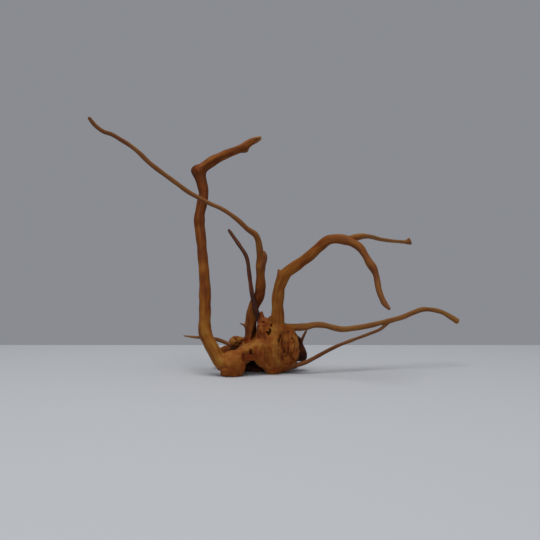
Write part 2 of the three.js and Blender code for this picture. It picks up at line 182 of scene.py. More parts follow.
SUNK = {
    "saddle_web": [[-23.4, 18, 2.6, 2], [-19.5, 18.4, 3.4, 2.6], [-15.5, 17.5, 2.4, 1]],
    "saddle_knot": [[-19.5, 24.2, 1, 3.2], [-19.2, 21.6, 1.2, 3.6]],
    "shelter_roof": [
        [-23.2, 11.2, 1.4, 4], [-22.2, 13, 1.5, 5], [-19.4, 13.4, 1.3, 5], [-16.6, 13.6, 1, 4],
    ],
    "lobe_crease": [
        [-27.2, 21.5, 0.6, 0.9], [-26.9, 18.5, 0.9, 2], [-26.4, 15.5, 0.9, 2], [-25.4, 13.4, 0.8, 1.4],
    ],
    "trunk_valley": [[-5.5, 27, 1, 0.5], [-3.6, 20, 1.8, 1.2], [-3.4, 14, 1.8, 1.2], [-1, 8, 1.2, 0.7]],
    "foot_corner": [[-51.6, 6.4, 0.5, 5], [-50.9, 4.8, 1, 6], [-50.3, 2.8, 1.2, 7], [-49.8, 0.4, 1.2, 7]],
    "foot_crease": [[-48.6, 6.6, 0.8, 0.9], [-45, 6.7, 0.8, 0.9], [-41.5, 6.6, 0.6, 0.5]],
    "knob_hole": [
        [-3.4, 42.5, 0.9, 3.8], [0.2, 42.5, 1, 5], [-1.4, 39.9, 1, 5], [-1.7, 41.8, 1.4, 5],
        [-2.6, 42.4, 1, 4],
    ],
    "knob_crevice": [[-0.9, 46.6, 0.6, 2], [0.4, 44.4, 0.9, 3.2]],
    "knob_slit": [[1.4, 51.4, 0.6, 2], [1, 48.6, 0.7, 2.4]],
    "knob_seam": [[1.8, 58, 0.6, 1.4], [1.8, 53, 0.5, 1]],
    "knob_top_pit": [[-8, 52.8, 0.8, 1.4], [-6.4, 52.4, 1.1, 2], [-5, 52.4, 0.7, 1.2]],
    "mass_crevice": [
        [10.2, 40.6, 0.5, 1.4], [10.3, 37.5, 0.7, 2.6], [8.9, 34.8, 0.9, 3.6], [8.5, 32, 0.7, 2.4],
        [8.9, 30.4, 0.4, 0.8],
    ],
    "mass_crevice_low": [[10.2, 30.4, 0.5, 1], [8.6, 28.6, 0.8, 1.8], [8, 26.5, 0.4, 0.6]],
    "mass_seam": [[9.4, 25, 1, 0.7], [8.6, 21, 1.4, 0.9], [9.6, 15, 1.2, 0.6]],
    "mass_groove": [[13.5, 37, 0.8, 0.5], [13, 30, 1, 0.7], [13.8, 24.5, 0.9, 0.8], [14.4, 22.2, 1, 2.2]],
    "mass_groove_middle": [
        [17.6, 33, 0.7, 0.5], [17.2, 26, 1, 0.8], [17.5, 20.8, 1.2, 2.4], [15.2, 17.4, 0.8, 1.2],
    ],
    "mass_groove_right": [[22.2, 31, 0.8, 0.7], [21.2, 24, 0.9, 0.7], [20.5, 17.6, 1.2, 2.6]],
    "mass_slit": [[22.4, 38, 0.5, 1], [22.4, 36, 0.8, 2]],
    "mass_edge_groove": [[24, 33.5, 0.9, 1], [24.6, 28, 0.9, 1], [24.4, 22, 0.8, 0.8]],
    "low_pit": [[22.6, 16.2, 1.2, 2.6], [24.2, 14.2, 0.9, 2]],
    "lowest_pit": [[22.4, 12.6, 1.1, 2.4]],
    "foot_dimple": [[-46.5, 17.5, 1.2, 0.7]],
    "lobe_dimple": [[-33.4, 8, 0.9, 0.7]],
    "stem_gap": [
        [-14.2, 52, 0.9, 4], [-14.6, 48.5, 1.3, 5], [-15.2, 45, 1.6, 6], [-15.9, 41, 1.9, 7],
        [-16.6, 37.6, 2, 7], [-18.4, 34.8, 1.3, 4],
    ],
    "stem_sliver": [[-13.4, 53, 0.7, 14], [-13.3, 50, 0.7, 14]],
    "broken_crack": [[-36.5, 37.2, 0.7, 1], [-33.4, 34.6, 0.8, 1.6], [-31.5, 31, 0.7, 1.2]],
    "arm_notch": [[-9.6, 236.4, 0.8, 3], [-12.4, 235.6, 0.8, 2.4], [-15, 234.4, 0.5, 1]],
    "broken_notch": [[-30.2, 38, 0.9, 1.6], [-29, 34.5, 0.6, 1]],
    "broken_pit": [[-33.8, 31.4, 1, 1.6], [-32.6, 31.9, 0.7, 1.2]],
    "broken_hole": [[-31.8, 37, 0.9, 1.6]],
    "broken_side": [
        [-31.4, 29.8, 0.7, 1.2], [-29.2, 31.2, 1, 2.2], [-27.6, 33.2, 1.1, 2.4], [-27, 34.6, 0.8, 1.6],
    ],
}
# Step along those lines, width of their rounded rim, and the set-backs searched for the skin.
FEATURE_STEP = 0.7
FEATURE_RIM = 0.7
SIGHT_DEPTHS = (-75, 60)

# Sampling, lengths in mm: samples in a span of a limb's curve, path step along it, cell of the field that
# fuses the limbs, its margin, the step for its slope as a share of the cell, how deep a corner lies where
# the wood would only touch itself, and how often the net is evened out.
SPAN_SAMPLES = 24
PATH_STEP = 1.5
CELL = 0.84
MARGIN = 4.0
SLOPE_STEP = 0.75
TOUCH = 0.05
RELAX_ROUNDS = 3

# Section of a limb: least radius and the way its frame first leans, oval, flutes, strands and swelling as
# shares of the radius, their winding per mm or length in mm, how blunt its ends are and how one limb's turn
# follows another's.
THINNEST = 0.3
FIRST_LEAN = (0.35, 0.9, 0.25)
OVAL = 0.05
FLUTE = 0.035
FLUTE_WIND = 0.03
STRAND = 0.02
STRAND_WIND = 0.07
SWELL = 0.035
SWELL_LENGTH = 19.0
TIP_STRETCH = 1.9
GOLDEN_ANGLE = math.pi * (3 - math.sqrt(5))

# Fillets where limbs grow together, and how far along a branch its base flares, in mm.
BURL_FILLET = 4.0
BASE_FILLET = 4.5
TWIG_FILLET = 1.0
FLARE_LENGTH = 14.0

# Grain: how far past its skin a limb marks the wood, how sharply one limb's grain gives way to the next,
# and how far apart the limbs' patterns lie, in mm.
GRAIN_REACH = 8.0
SHARE_REACH = 0.8
GRAIN_SHIFT = 50
# Seeds of the noises, where those that run along limbs also add the limb's number, and the gain that brings
# noise to about -1 to 1.
SEEDS = {
    "knuckle": 0, "cord": 40, "lump": 90, "small_lump": 91, "fibre": 92, "cloud": 93, "red": 94,
    "streak": 120, "fine": 160, "splinter": 200,
}
NOISE_GAIN = 1.6
# Relief heights in mm (knuckles as a share of the radius), with their sizes along and across the grain.
# Cords are full on limbs of a given radius, and the size of the upright fibres is across and up.
KNUCKLE = 0.07
KNUCKLE_SIZE = (9, 7, 7)
CORD = 0.2
CORD_SIZE = (26, 2.6, 2.6)
CORD_RADIUS = 5
LUMP = 0.6
LUMP_SIZE = 8.0
SMALL_LUMP = 0.42
SMALL_LUMP_SIZE = 3.8
FIBRE = 0.6
FIBRE_SIZE = (2.8, 2.8, 15)
# How lumpy and how torn the limbs of the burl are; those not named are fully lumpy and not torn.
LUMPY = {"left_foot": 0.5, "front_root": 0.7, "slant_rib": 0.9, "right_rib": 0.9}
TORN = {
    "right_mass": 1.0, "right_rib": 0.4, "knob": 0.7, "knob_spike": 1.0, "broken_root": 1.0,
    "front_root": 0.2, "back_mass": 0.8, "back_foot": 0.5, "back_left_root": 0.4, "back_right_root": 0.5,
}
# How far out the probes for sheltered skin reach, in mm.
PROBES = (1.5, 4.0, 9.0)

# Tones of each limb from its root to its tip, 0 for charred heartwood to 1 for sun-bleached tan.
TONES = {
    "left_foot": (0.82, 0.76), "front_root": (0.78, 0.68), "right_rib": (0.74, 0.76),
    "slant_rib": (0.94, 0.88), "slant_edge": (0.86, 0.82), "right_mass": (0.74, 0.72),
    "knob": (0.54, 0.64), "knob_spike": (0.38, 0.36), "knob_spur": (0.56, 0.56), "back_mass": (0.6, 0.6),
    "back_left_root": (0.54, 0.6), "broken_root": (0.72, 0.82), "back_foot": (0.5, 0.5),
    # The back web and the saddle's back are near black as painted shade inside the shelter under the burl.
    "back_web": (0.02, 0.02), "saddle_back": (0.2, 0.3), "back_right_root": (0.5, 0.45),
    "dark_stub": (0.04, 0), "dark_ridge": (0.16, 0.06),
    "left_stem": (0.9, 0.72, 0.54, 0.48, 0.43, 0.33), "left_arm": (0.5, 0.54, 0.66), "arm_spur": (0.7, 0.7),
    "long_branch": (0.44, 0.56, 0.62, 0.68, 0.74, 0.74, 0.7, 0.66, 0.62), "branch_stub": (0.6, 0.6),
    # The dark twig's black root beside the knob is painted shade.
    "thorn": (0.6, 0.66), "dark_twig": (0, 0.06, 0.16, 0.16, 0.16),
    "arch_stem": (0.74, 0.74, 0.62, 0.57, 0.56, 0.62), "arch_stub": (0.38, 0.38),
    "upper_twig": (0.66, 0.96, 0.8), "upper_twig_fork": (0.38, 0.38),
    "right_branch": (0.72, 0.74, 0.9, 0.78, 0.7, 1.0), "low_root": (0.52, 0.46, 0.66, 0.68),
    "side_twig": (0.58, 0.7), "spike": (0.3, 0.8),
}
# Tone added by streaks along the grain, weaker on the burl, by fine streaks, clouds, and painted light that
# makes upward faces paler.
STREAK = 0.14
BURL_STREAK = 0.5
STREAK_SIZE = (38, 2.4, 2.4)
FINE = 0.1
FINE_SIZE = (14, 1.3, 1.3)
CLOUD = 0.12
CLOUD_SIZE = 17.0
PAINTED_TOP_LIGHT = 0.12
# Tone gained with each millimetre that the relief stands out: painted highlight on the crests, where the wood
# is also worn pale.
CREST_HIGHLIGHT_AND_WEAR = 0.32
# Pale and dark patches as x, z, half width and half height as seen, with the tone that each adds. The pale
# band along the saddle's top is painted highlight, and the dark patches under the broken root, in the gap
# between it and the saddle and in the knob's top pit are painted shade.
TONE_SPOTS = (
    (-18, 30, 10, 3, 0.16), (3.5, 20, 2.4, 7, 0.16), (8, 11.5, 1.8, 3, 0.34), (27.2, 31, 1.3, 6, 0.4),
    (-8.5, 46, 2.6, 3, 0.2), (-46, 14, 6, 4, 0.12), (-17.4, 27.6, 1.6, 2, 0.2), (-32.6, 33.4, 2.4, 1.2, 0.3),
    (16, 25, 6, 5, -0.16), (-36.5, 27, 3, 2, -0.3), (-23, 35, 3, 2.4, -0.25), (-34.4, 39.2, 1.4, 1.2, -0.6),
    (-6.5, 52.6, 2, 1.2, -0.25),
)
# Length of pale torn wood at the broken ends, the size of its streaks, how ragged they make it, where along
# that length it is full and where it stops.
SPLINTERS = {"left_arm": 3.8}
SPLINTER_SIZE = (5, 1.6, 1.6)
SPLINTER_RAG = 1.6
SPLINTER_FULL = 1.2
SPLINTER_STOP = 1.6

# Twigs grey with weather between these two radii in mm, up to the share of grey they take, of which charred
# wood takes a part only.
WEATHER_RADII = (4.6, 2.2)
WEATHER = 0.42
CHARRED_PART = 0.3
# Red heartwood that shows through: a little all over the burl, spots as x, z, half width and half height as
# seen, with the share that each adds, and faint clouds. The last spot is painted shade, dark red in the gap
# between the broken root and the saddle.
BURL_RED = 0.38
RED_SPOTS = (
    (14, 48, 4.5, 2.2, 0.6), (3, 5, 6, 2.4, 0.45), (-28, 9, 2.6, 4, 0.35), (-45, 3.5, 6, 2.6, 0.25),
    (-20, 18, 5, 3.4, 0.35), (-26.8, 17, 1.2, 4, 0.4), (-8, 19, 4, 7, 0.25), (86, 136.5, 4, 1.6, 0.5),
    (-23, 35, 3.4, 2.4, 0.35),
)
RED_CLOUD = 0.2
RED_CLOUD_SIZE = 13.0

# Colours from charred heartwood to bleached tan, then weathered skin, red heartwood, torn wood, painted
# shade in the crevices, board and room.
WOOD_TONES = (
    (0.0, "2A1009"), (0.2, "4E240F"), (0.48, "6A3612"), (0.64, "7E4717"), (0.8, "8C571E"), (1.0, "9C6C2C"),
)
WEATHERED = "675040"
RED_WOOD = "84300F"
TORN_WOOD = "B58A58"
CREVICE_PAINTED_SHADE = "150905"
BOARD = "C4C6C9"
ROOM = "8A8C91"
# How sheltered the skin is where the painted shade starts and where it is full, and the share it then takes.
HOLLOW_START = 0.45
HOLLOW_FULL = 0.9
PAINTED_SHADE_SHARE = 0.92
# Wood fibres: waves per mm along and across the grain, the tone they add from dark to pale and their height
# in mm. Real fibres are far finer, and these are as coarse as they need to be to show.
FIBRE_SQUEEZE = (0.07, 1.1, 1.1)
FIBRE_TONE = 0.35
FIBRE_BUMP = 0.35
# Sockets of the node that mixes two colours.
MIX_FIRST, MIX_SECOND, MIX_RESULT = 6, 7, 2

# The stage: board edges (left, right, front, back) in mm, the lamps as square side, watts, place and aim,
# and the camera's sensor and field in mm.
BOARD_EDGES = (-1500, 1500, -1400, 240)
LAMPS = {
    "ceiling": (0.8, 11.5, (-0.12, -0.4, 1.35), (0, 0, 0.06)),
    "front": (0.9, 2.2, (-0.2, -1.3, 0.5), (0, 0, 0.06)),
}
SENSOR = 36.0
FIELD_WIDTH = 540.0


def placed(seen):
    """Rows of x, z, set-back and radius as real x, y, z and radius.

    Each point moves along its sight line to its set-back y, so x, z above the eye and the radius all
    grow by 1 + y / eye distance.
    """
    seen = np.asarray(seen, float)
    spread = 1 + seen[:, 2] / EYE_DISTANCE
    height = EYE_HEIGHT + (seen[:, 1] - EYE_HEIGHT) * spread
    return np.column_stack([seen[:, 0] * spread, seen[:, 2], height, seen[:, 3] * spread])


def smooth_line(rows):
    """Centripetal Catmull-Rom curve through rows of x, y, z and radius, at even steps of arc length.

    Each span is a cubic Hermite curve whose end tangents come from knots spaced by the square root of the
    distance between rows. The radius rides along as a fourth coordinate.
    """
    ends = np.vstack([2 * rows[0] - rows[1], rows, 2 * rows[-1] - rows[-2]])
    knots = np.linalg.norm(np.diff(ends[:, :3], axis=0), axis=1)[:, None] ** 0.5
    before, start, stop, after = ends[:-3], ends[1:-2], ends[2:-1], ends[3:]
    k0, k1, k2 = knots[:-2], knots[1:-1], knots[2:]
    leave = ((start - before) / k0 - (stop - before) / (k0 + k1) + (stop - start) / k1) * k1
    arrive = ((stop - start) / k1 - (after - start) / (k1 + k2) + (after - stop) / k2) * k1
    t = np.linspace(0, 1, SPAN_SAMPLES, endpoint=False)[None, :, None]
    leave, arrive, start, stop = (part[:, None, :] for part in (leave, arrive, start, stop))
    spans = start + leave * t + (3 * (stop - start) - 2 * leave - arrive) * t**2
    spans = spans + (2 * (start - stop) + leave + arrive) * t**3
    line = np.vstack([spans.reshape(-1, 4), rows[-1]])
    travelled = np.concatenate([[0], np.cumsum(np.linalg.norm(np.diff(line[:, :3], axis=0), axis=1))])
    steps = max(2, math.ceil(travelled[-1] / PATH_STEP))
    even = np.linspace(0, travelled[-1], steps + 1)
    return np.column_stack([np.interp(even, travelled, line[:, i]) for i in range(4)]), even


class Limb:
    """A limb's centre line at even steps, with a frame carried along it that never spins.

    Each normal is the last one less its part along the new tangent, and the binormal is square to both.
    """

    def __init__(self, name, rows, turn, in_burl):
        line, self.along = smooth_line(placed(rows))
        self.name = name
        self.in_burl = in_burl
        self.points = line[:, :3]
        self.radii = np.maximum(line[:, 3], THINNEST)
        self.turn = turn
        tangents = np.gradient(self.points, axis=0)
        self.tangents = tangents / np.linalg.norm(tangents, axis=1, keepdims=True)
        normal = np.cross(self.tangents[0], FIRST_LEAN)
        normals = []
        for tangent in self.tangents:
            normal = normal - tangent * (normal @ tangent)
            normal = normal / np.linalg.norm(normal)
            normals.append(normal)
        self.normals = np.array(normals)
        self.binormals = np.cross(self.tangents, self.normals)

    def fillet(self, along):
        """Reach of the fillet to what the limb grows from: widest at its base, fading along the flare."""
        if self.in_burl:
            return BURL_FILLET
        fade = np.clip(1 - along / FLARE_LENGTH, 0, 1)
        return TWIG_FILLET + (BASE_FILLET - TWIG_FILLET) * fade * fade * (3 - 2 * fade)


def section(limb, along, angle):
    """Share of a limb's radius at an angle: one, plus cosines of two, three and five times the angle for the
    oval, the winding flutes and the winding strands, plus a sine along the limb for its swelling."""
    turn = limb.turn
    oval = OVAL * np.cos(2 * angle + 2 * turn)
    flutes = FLUTE * np.cos(3 * angle + turn + FLUTE_WIND * along)
    strands = STRAND * np.cos(5 * angle - turn - STRAND_WIND * along)
    swell = SWELL * math.sin(2 * math.pi * along / SWELL_LENGTH + turn)
    return 1 + oval + flutes + strands + swell


class Field:
    """Signed distance to the wood on an even grid: below zero inside, above zero outside."""

    def __init__(self, limbs):
        reach = np.array([limb.radii.max() for limb in limbs]).max() + MARGIN
        low = np.min([(limb.points - limb.radii[:, None]).min(0) for limb in limbs], axis=0) - MARGIN
        high = np.max([(limb.points + limb.radii[:, None]).max(0) for limb in limbs], axis=0) + MARGIN
        low[2] = -2 * CELL
        self.low = low
        self.shape = np.ceil((high - low) / CELL).astype(int) + 1
        self.values = np.full(self.shape, reach, np.float32)

    def cut(self, low, high):
        """Grid slices that hold a box, and the coordinates along each of its sides."""
        first = np.clip(np.floor((low - self.low) / CELL).astype(int), 0, self.shape - 1)
        last = np.clip(np.ceil((high - self.low) / CELL).astype(int) + 1, first + 1, self.shape)
        slices = tuple(slice(a, b) for a, b in zip(first, last))
        sides = [self.low[i] + CELL * np.arange(first[i], last[i]) for i in range(3)]
        return slices, sides

    def sample(self, points):
        """Field at loose points, mixed from the eight grid values round each."""
        place = np.clip((points - self.low) / CELL, 0, self.shape - 1.001)
        base = place.astype(int)
        share = place - base
        total = np.zeros(len(points))
        for corner in itertools.product((0, 1), repeat=3):
            weight = np.prod(np.where(corner, share, 1 - share), axis=1)
            total += weight * self.values[tuple((base + corner).T)]
        return total

    def slope(self, points):
        """Unit direction of steepest rise, from differences over a step to either side along each axis."""
        steps = np.eye(3) * CELL * SLOPE_STEP
        rise = np.column_stack([self.sample(points + s) - self.sample(points - s) for s in steps])
        return rise / np.maximum(np.linalg.norm(rise, axis=1, keepdims=True), 1e-9)


def blended(a, b, reach):
    """Smooth minimum of two distances: the smaller, lowered where they lie within reach of each other."""
    near = np.maximum(reach - np.abs(a - b), 0)
    return np.minimum(a, b) - near * near / (4 * reach)


def grow(field, limb):
    """Fuses a limb into the field.

    The limb is a fluted profile carried along its path: at a grid point, the distance to the nearest stretch
    of the centre line less the profile's radius at that angle. It joins what is there by a smooth minimum.
    """
    reach = float(np.max(limb.fillet(np.array([0.0])))) + 2 * CELL
    widest = 1 + OVAL + FLUTE + STRAND + SWELL
    pad = limb.radii.max() * widest + reach
    slices, sides = field.cut(limb.points.min(0) - pad, limb.points.max(0) + pad)
    corner = np.array([side[0] for side in sides])
    counts = np.array([len(side) for side in sides])
    distance = np.full(counts, reach, np.float32)
    travelled = np.zeros(counts, np.float32)
    last = len(limb.points) - 2
    for i in range(last + 1):
        start, stop = limb.points[i], limb.points[i + 1]
        pad = max(limb.radii[i], limb.radii[i + 1]) * widest + reach
        first = np.clip(np.floor((np.minimum(start, stop) - pad - corner) / CELL).astype(int), 0, counts)
        final = np.clip(np.ceil((np.maximum(start, stop) + pad - corner) / CELL).astype(int) + 1, 0, counts)
        part = tuple(slice(a, b) for a, b in zip(first, final))
        local = [(side[s] - c).astype(np.float32) for side, s, c in zip(sides, part, start)]
        x, y, z = np.meshgrid(*local, indexing="ij", sparse=True)
        length = np.linalg.norm(stop - start)
        dx, dy, dz = (stop - start) / length
        run = x * dx + y * dy + z * dz
        inside = np.clip(run, 0, length)
        stretch = TIP_STRETCH if i in (0, last) else 1.0
        beyond = (run - inside) * stretch
        square = np.maximum(x * x + y * y + z * z - run * run, 0) + beyond * beyond
        across = x * limb.normals[i][0] + y * limb.normals[i][1] + z * limb.normals[i][2]
        over = x * limb.binormals[i][0] + y * limb.binormals[i][1] + z * limb.binormals[i][2]
        angle = np.arctan2(over, across)
        radius = limb.radii[i] + (limb.radii[i + 1] - limb.radii[i]) * inside / length
        skin = np.sqrt(square) - radius * section(limb, limb.along[i], angle)
        closer = skin < distance[part]
        distance[part][closer] = skin[closer]
        travelled[part][closer] = limb.along[i]
    field.values[slices] = blended(field.values[slices], distance, limb.fillet(travelled))


def along_skin(field, rows):
    """Rows of x, z, half width and half depth, filled evenly, set where their sight lines meet the wood."""
    rows = np.asarray(rows, float)
    run = np.concatenate([[0], np.cumsum(np.hypot(*np.diff(rows[:, :2], axis=0).T))])
    even = np.linspace(0, run[-1], math.ceil(run[-1] / FEATURE_STEP) + 1)
    x, z, width, depth = (np.interp(even, run, rows[:, i]) for i in range(4))
    backs = np.arange(*SIGHT_DEPTHS, CELL / 2)
    seen_x, seen_z = np.repeat(x, len(backs)), np.repeat(z, len(backs))
    lines = placed(np.column_stack([seen_x, seen_z, np.tile(backs, len(even)), seen_x]))[:, :3]
    first = np.argmax(field.sample(lines).reshape(len(even), -1) < 0, axis=1)
    return lines.reshape(len(even), -1, 3)[np.arange(len(even)), first], width, depth


def egg(sides, middle, width, depth):
    """Distance to an egg set on a sight line: with p over the half sizes as a and over their squares as b,
    the length of a times that length less one, over the length of b."""
    x, y, z = np.meshgrid(*(side - m for side, m in zip(sides, middle)), indexing="ij", sparse=True)
    square = x * x + z * z
    a = np.sqrt(square / width**2 + y * y / depth**2)
    b = np.sqrt(square / width**4 + y * y / depth**4)
    return (a * (a - 1) / np.maximum(b, 1e-6)).astype(np.float32)


def feature(field, rows, sunk):
    """Raises a ridge on the front skin or sinks a crevice into it, as a chain of eggs with a rounded rim."""
    middles, widths, depths = along_skin(field, rows)
    pad = max(widths.max(), depths.max()) + 2 * FEATURE_RIM + CELL
    slices, sides = field.cut(middles.min(0) - pad, middles.max(0) + pad)
    chain = np.full([len(side) for side in sides], pad, np.float32)
    for middle, width, depth in zip(middles, widths, depths):
        chain = np.minimum(chain, egg(sides, middle, width, depth))
    sign = -1 if sunk else 1
    field.values[slices] = sign * blended(sign * field.values[slices], chain, FEATURE_RIM)


def sculpt(field):
    """Raises the ridges of the burl, sinks its crevices and wears the feet flat."""
    for rows in RAISED.values():
        feature(field, rows, sunk=False)
    for rows in SUNK.values():
        feature(field, rows, sunk=True)
    heights = field.low[2] + CELL * np.arange(field.shape[2])
    low = heights < 2 * CELL
    field.values[:, :, low] = np.maximum(field.values[:, :, low], -heights[low].astype(np.float32))


def joined(field):
    """Fills the corners where the wood would touch itself along a line only.

    On a grid face with two opposite corners inside and the other two outside, the outside ones move just
    inside the skin, over and over until no such face is left.
    """
    crossed = True
    while crossed:
        inside = field.values < 0
        crossed = False
        for across, over in itertools.combinations(np.eye(3, dtype=int), 2):
            span = field.shape - across - over
            starts = (0 * across, across + over, across, over)
            cuts = [tuple(slice(a, a + b) for a, b in zip(start, span)) for start in starts]
            one, two, three, four = (inside[cut] for cut in cuts)
            touching = np.argwhere((one == two) & (three == four) & (one != three))
            for start in starts if len(touching) else ():
                corner = tuple((touching + start).T)
                field.values[corner] = np.minimum(field.values[corner], -TOUCH)
                crossed = True


def net(field):
    """Surface net of the field's zero level, as vertices and quads.

    Every cell that the level crosses has one vertex, at the mean of the crossings on the cell's twelve edges.
    Every grid edge that it crosses has one quad, between the four cells round that edge.
    """
    values = field.values
    inside = values < 0
    corners = np.array(list(itertools.product((0, 1), repeat=3)))
    count = np.zeros(field.shape - 1, np.uint8)
    for i, j, k in corners:
        count += inside[i : i + count.shape[0], j : j + count.shape[1], k : k + count.shape[2]]
    active = (count > 0) & (count < 8)
    cells = np.argwhere(active)
    number = np.full(count.shape, -1, np.int32)
    number[active] = np.arange(len(cells))
    held = np.column_stack([values[tuple((cells + c).T)] for c in corners])
    total = np.zeros((len(cells), 3))
    crossings = np.zeros((len(cells), 1))
    for a, b in itertools.combinations(range(8), 2):
        if np.abs(corners[a] - corners[b]).sum() != 1:
            continue
        crossed = ((held[:, a] < 0) != (held[:, b] < 0))[:, None]
        span = np.where(crossed[:, 0], held[:, a] - held[:, b], 1)
        share = (held[:, a] / span)[:, None]
        total += np.where(crossed, corners[a] + share * (corners[b] - corners[a]), 0)
        crossings += crossed
    points = field.low + (cells + total / crossings) * CELL
    quads = []
    for axis in range(3):
        step = np.eye(3, dtype=int)[axis]
        here = inside[: inside.shape[0] - step[0], : inside.shape[1] - step[1], : inside.shape[2] - step[2]]
        there = inside[step[0] :, step[1] :, step[2] :]
        edges = np.argwhere(here != there)
        one, two = np.eye(3, dtype=int)[(axis + 1) % 3], np.eye(3, dtype=int)[(axis + 2) % 3]
        ring = np.stack([number[tuple((edges - s).T)] for s in (one + two, two, 0 * one, one)], axis=1)
        outward = here[tuple(edges.T)]
        quads.append(np.where(outward[:, None], ring, ring[:, ::-1]))
    return points, np.vstack(quads)


def largest_body(points, quads):
    """Keeps the largest connected body: labels sink to the lowest number in reach until they hold still."""
    one, two = quads[:, [0, 1, 2]].ravel(), quads[:, [1, 2, 3]].ravel()
    label = np.arange(len(points))
    while (label[one] != label[two]).any():
        low, high = np.minimum(label[one], label[two]), np.maximum(label[one], label[two])
        np.minimum.at(label, high, low)
        label = label[label[label]]
    kept = label == np.bincount(label).argmax()
    order = np.cumsum(kept) - 1
    return points[kept], order[quads[kept[quads[:, 0]]]]


def vertex_normals(points, quads):
    """Unit vertex normals: the sum of the quads' area vectors, half the cross product of their diagonals."""
    area = np.cross(points[quads[:, 2]] - points[quads[:, 0]], points[quads[:, 3]] - points[quads[:, 1]])
    total = np.column_stack(
        [np.bincount(quads.ravel(), np.repeat(area[:, i], 4), len(points)) for i in range(3)]
    )
    return total / np.maximum(np.linalg.norm(total, axis=1, keepdims=True), 1e-12)


def relaxed(points, quads, field, rounds):
    """Evens the net out: each vertex moves to its neighbours' mean, then back to the field's zero level."""
    one, two = quads.ravel(), quads[:, [1, 2, 3, 0]].ravel()
    valence = np.bincount(one, minlength=len(points)) + np.bincount(two, minlength=len(points))
    for _ in range(rounds):
        total = np.column_stack(
            [
                np.bincount(one, points[two, i], len(points)) + np.bincount(two, points[one, i], len(points))
                for i in range(3)
            ]
        )
        points = total / valence[:, None]
        points = points - field.slope(points) * field.sample(points)[:, None]
    return points


def noise(points, seed):
    """Lattice noise of about -1 to 1: hashed gradients at whole coordinates, mixed by quintic shares."""
    base = np.floor(points).astype(np.int64)
    share = points - base
    ease = share**3 * (share * (share * 6 - 15) + 10)
    total = np.zeros(len(points))
    for corner in itertools.product((0, 1), repeat=3):
        cell = base + corner
        code = cell[:, 0] * 73856093 ^ cell[:, 1] * 19349663 ^ cell[:, 2] * 83492791 ^ (seed * 2654435761)
        code = (code ^ (code >> 13)) * 1274126177 & 0xFFFFFFFF
        code = code ^ (code >> 16)
        lean = np.column_stack([(code >> shift & 1023) / 511.5 - 1 for shift in (0, 10, 20)])
        weight = np.prod(np.where(corner, ease, 1 - ease), axis=1)
        total += weight * np.sum(lean * (share - corner), axis=1)
    return total * NOISE_GAIN


def grain_places(points, limbs):
    """For each limb, the vertices near it, their distance to its skin and their place along and across it."""
    places = []
    for limb in limbs:
        pad = limb.radii.max() + GRAIN_REACH
        inside = (points > limb.points.min(0) - pad) & (points < limb.points.max(0) + pad)
        near = np.flatnonzero(inside.all(1))
        chosen = points[near]
        square = (chosen**2).sum(1)[:, None] + (limb.points**2).sum(1) - 2 * chosen @ limb.points.T
        skin = np.sqrt(np.maximum(square, 0)) - limb.radii
        closest = skin.argmin(1)
        offset = chosen - limb.points[closest]
        frame_axes = (limb.tangents, limb.normals, limb.binormals)
        local = np.column_stack([(offset * axis[closest]).sum(1) for axis in frame_axes])
        local[:, 0] += limb.along[closest]
        places.append((near, skin[np.arange(len(near)), closest], local))
    return places


def limb_shares(count, places):
    """How far each limb owns the vertices near it: falls off with its distance past the nearest limb's."""
    least = np.full(count, np.inf)
    for near, skin, _ in places:
        least[near] = np.minimum(least[near], skin)
    shares = [np.exp((least[near] - skin) / SHARE_REACH) for near, skin, _ in places]
    total = mixed(count, places, shares, [1.0] * len(places))
    return [share / total[near] for share, (near, _, _) in zip(shares, places)]


def mixed(count, places, shares, values):
    """Values of the limbs mixed at every vertex by the limbs' shares."""
    total = np.zeros(count)
    for (near, _, _), share, value in zip(places, shares, values):
        total[near] += share * value
    return total


def relief(points, limbs, places, shares):
    """Height of the grain over the fused skin, in mm.

    Branches have knuckles and lengthwise cords that follow them. The burl has lumps of two sizes, and upright
    fibres where it is torn: noise in squeezed coordinates, folded at zero so that it makes sharp crests.
    """
    cords = []
    for number, (limb, (_, _, local)) in enumerate(zip(limbs, places)):
        thick = np.interp(local[:, 0], limb.along, limb.radii)
        knuckle = KNUCKLE * thick * noise(local / KNUCKLE_SIZE, number + SEEDS["knuckle"])
        cord = CORD * np.minimum(thick / CORD_RADIUS, 1) * noise(local / CORD_SIZE, number + SEEDS["cord"])
        cords.append(knuckle + cord)
    count = len(points)
    lumpy = mixed(count, places, shares, [LUMPY.get(limb.name, 1.0) * limb.in_burl for limb in limbs])
    torn = mixed(count, places, shares, [TORN.get(limb.name, 0.0) for limb in limbs])
    lumps = LUMP * noise(points / LUMP_SIZE, SEEDS["lump"])
    lumps = lumps + SMALL_LUMP * noise(points / SMALL_LUMP_SIZE, SEEDS["small_lump"])
    fibres = FIBRE * (0.5 - np.abs(noise(points / FIBRE_SIZE, SEEDS["fibre"])) * 2)
    return mixed(count, places, shares, cords) + lumpy * lumps + torn * fibres


def hollowness(points, normals, field):
    """How sheltered a vertex is: how much nearer the wood is than the probe, for probes of three lengths."""
    total = np.zeros(len(points))
    for length in PROBES:
        total += np.clip(1 - field.sample(points + normals * length) / length, 0, 1)
    return total / len(PROBES)


def spotted(points, spots):
    """Sum of spots as seen by the viewer: each is its strength times a bell of the distance over its size."""
    spread = 1 + points[:, 1] / EYE_DISTANCE
    x, z = points[:, 0] / spread, EYE_HEIGHT + (points[:, 2] - EYE_HEIGHT) / spread
    total = np.zeros(len(points))
    for spot_x, spot_z, width, height, strength in spots:
        total += strength * np.exp(-(((x - spot_x) / width) ** 2) - ((z - spot_z) / height) ** 2)
    return total


